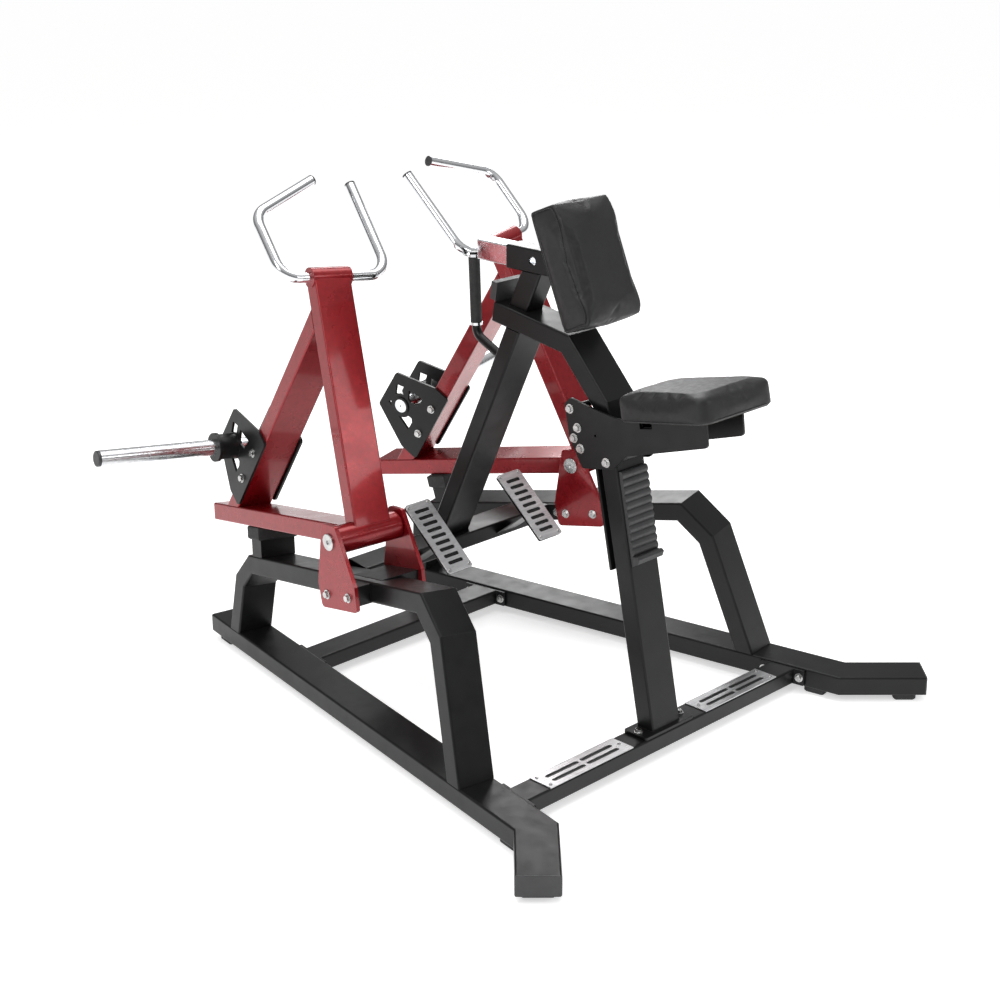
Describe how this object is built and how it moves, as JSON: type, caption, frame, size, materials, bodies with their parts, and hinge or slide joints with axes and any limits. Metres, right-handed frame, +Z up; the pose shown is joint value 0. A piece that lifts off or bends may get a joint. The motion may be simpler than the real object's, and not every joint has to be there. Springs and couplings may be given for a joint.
{
  "type": "t bar row",
  "caption": "Plate-loaded seated row with swinging arms, bent handles, weight horns, a sliding chest pad and a height-adjustable seat.",
  "frame": {"origin": "floor level, at the middle of the machine's overall length and width", "axes": "+Z up, +X to the user's right, the user sits at the -Y end and faces +Y"},
  "size_m": [1.8056, 1.9536, 1.5804],
  "materials": {
    "black_paint": "satin black powder coat",
    "red_paint": "gloss metallic red",
    "chrome": "polished",
    "pad_leather": "black grained upholstery leather",
    "rubber": "matt moulded rubber",
    "black_plastic": "matt moulded plastic",
    "stainless_plate": "brushed",
    "bright_steel": "bright zinc plated",
    "pad_board": "black stained plywood"
  },
  "bodies": {
    "frame": {"bumper_posts": "black_paint", "centre_grip_rings": "chrome", "centre_grip_rubber": "rubber", "centre_grip_tube": "black_paint", "chest_post": "black_paint", "chest_sleeve": "black_paint", "foot_plate_brackets": "black_paint", "foot_plates": "stainless_plate", "frame_bolts": "bright_steel", "front_crossbar": "black_paint", "left_arch": "black_paint", "left_base_rail": "black_paint", "main_post": "black_paint", "pin_housing": "black_paint", "pivot_plates": "red_paint", "pivot_shafts": "bright_steel", "pivot_stubs": "black_paint", "plate_screws": "bright_steel", "rear_crossbar": "black_paint", "rear_post": "black_paint", "right_arch": "black_paint", "right_base_rail": "black_paint", "rubber_bumpers": "rubber", "rubber_feet": "rubber", "seat_guide_strip": "black_paint", "seat_rack": "black_plastic", "step_plates": "stainless_plate", "tube_end_caps": "black_plastic", "upper_crossbeam": "black_paint"},
    "chest_support": {"chest_pad": "pad_leather", "chest_pad_board": "pad_board", "chest_tube": "chrome"},
    "left_arm": {"left_arm_beam": "red_paint", "left_arm_front_leg": "red_paint", "left_arm_rear_leg": "red_paint", "left_end_plugs": "black_plastic", "left_handle": "chrome", "left_horn_bolts": "bright_steel", "left_horn_plates": "black_paint", "left_pivot_bearings": "bright_steel", "left_pivot_tube": "red_paint", "left_weight_horn": "chrome"},
    "chest_pin": {"pull_pin": "black_plastic"},
    "right_arm": {"right_arm_beam": "red_paint", "right_arm_front_leg": "red_paint", "right_arm_rear_leg": "red_paint", "right_end_plugs": "black_plastic", "right_handle": "chrome", "right_horn_bolts": "bright_steel", "right_horn_plates": "black_paint", "right_pivot_bearings": "bright_steel", "right_pivot_tube": "red_paint", "right_weight_horn": "chrome"},
    "seat_carriage": {"seat_board": "pad_board", "seat_bolts": "bright_steel", "seat_crosspieces": "black_paint", "seat_pad": "pad_leather", "seat_rollers": "black_plastic", "seat_side_plates": "black_paint"}
  },
  "joints": [
    {"name": "right_arm_swing", "type": "hinge", "parent": "frame", "child": "right_arm", "pos_m": [0.49236, 0.11869, 0.61699], "axis": [0.994, 0.1097, 0], "range_deg": [0, 50]},
    {"name": "left_arm_swing", "type": "hinge", "parent": "frame", "child": "left_arm", "pos_m": [-0.49236, 0.11869, 0.61699], "axis": [0.994, -0.1097, 0], "range_deg": [0, 50]},
    {"name": "seat_height", "type": "slide", "parent": "frame", "child": "seat_carriage", "axis": [0, 0.2069, 0.9784], "range_m": [-0.2, 0]},
    {"name": "chest_pad_slide", "type": "slide", "parent": "frame", "child": "chest_support", "axis": [0, -1, 0], "range_m": [0, 0.1]},
    {"name": "chest_pin_pull", "type": "slide", "parent": "frame", "child": "chest_pin", "axis": [1, 0, 0], "range_m": [0, 0.016], "stiffness_N_per_m": 600, "springref_m": -0.01}
  ]
}
